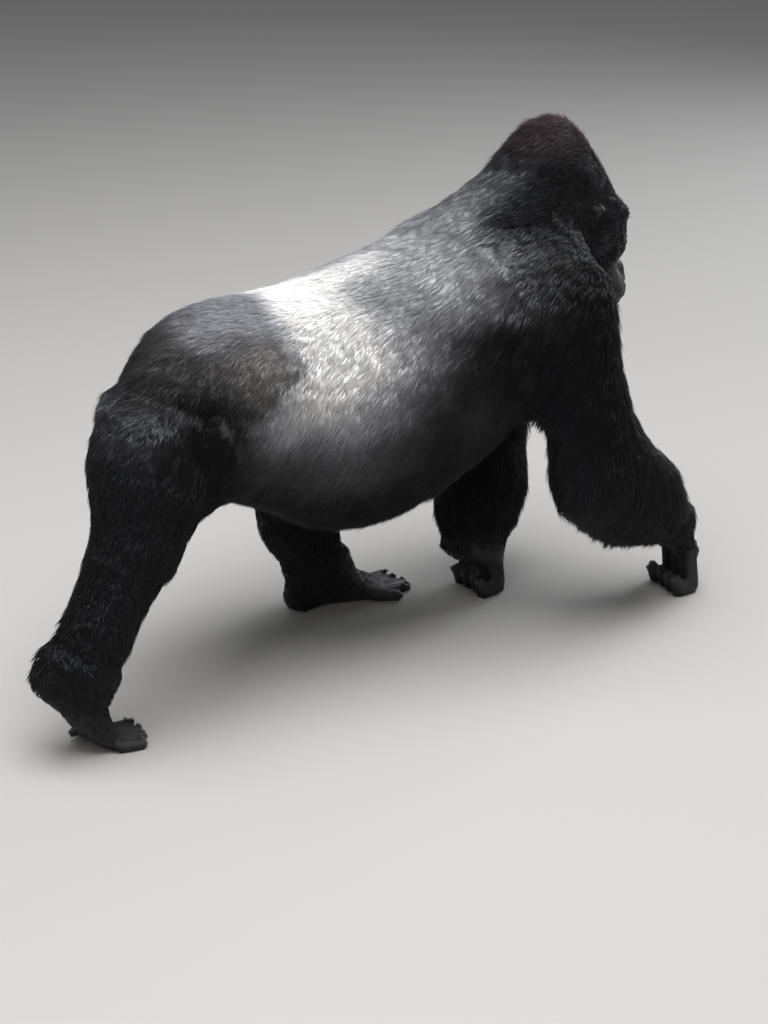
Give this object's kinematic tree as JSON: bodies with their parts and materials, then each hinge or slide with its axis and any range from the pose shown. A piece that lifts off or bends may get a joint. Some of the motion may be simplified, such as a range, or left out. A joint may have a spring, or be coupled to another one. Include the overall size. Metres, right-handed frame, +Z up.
{
  "type": "silverback mountain gorilla",
  "caption": "Life-size still model of a male mountain gorilla walking on its knuckles, one hind leg pushing off behind, head low, with a black coat and silver saddle.",
  "frame": {"origin": "on the floor, under the middle of the animal's box", "axes": "+X the way the animal walks, +Y its left side, +Z up"},
  "size_m": [1.691, 0.6744, 1.1595],
  "materials": {
    "coat_black": "long black hair with a faint blue sheen, combed down and back",
    "coat_silver": "short dense silver-white hair lying flat, grading to grey and black",
    "bare_skin": "dark grey-black creased skin with a low satin sheen",
    "eye": "wet, dark brown iris"
  },
  "bodies": {
    "root": {"abdomen": "coat_silver", "big_toe_left": "bare_skin", "big_toe_right": "bare_skin", "chest": "coat_silver", "ear_left": "bare_skin", "ear_right": "bare_skin", "eye_left": "eye", "eye_right": "eye", "fifth_toe_left": "bare_skin", "fifth_toe_right": "bare_skin", "foot_left": "bare_skin", "foot_right": "bare_skin", "forearm_left": "coat_black", "forearm_right": "coat_black", "fourth_toe_left": "bare_skin", "fourth_toe_right": "bare_skin", "hand_left": "bare_skin", "hand_right": "bare_skin", "head": "coat_black", "index_finger_left": "bare_skin", "index_finger_right": "bare_skin", "jaw": "bare_skin", "little_finger_left": "bare_skin", "little_finger_right": "bare_skin", "middle_finger_left": "bare_skin", "middle_finger_right": "bare_skin", "neck": "coat_black", "pelvis": "coat_silver", "ring_finger_left": "bare_skin", "ring_finger_right": "bare_skin", "second_toe_left": "bare_skin", "second_toe_right": "bare_skin", "shank_left": "coat_black", "shank_right": "coat_black", "thigh_left": "coat_black", "thigh_right": "coat_black", "third_toe_left": "bare_skin", "third_toe_right": "bare_skin", "thumb_left": "bare_skin", "thumb_right": "bare_skin", "upper_arm_left": "coat_black", "upper_arm_right": "coat_black"}
  },
  "joints": []
}
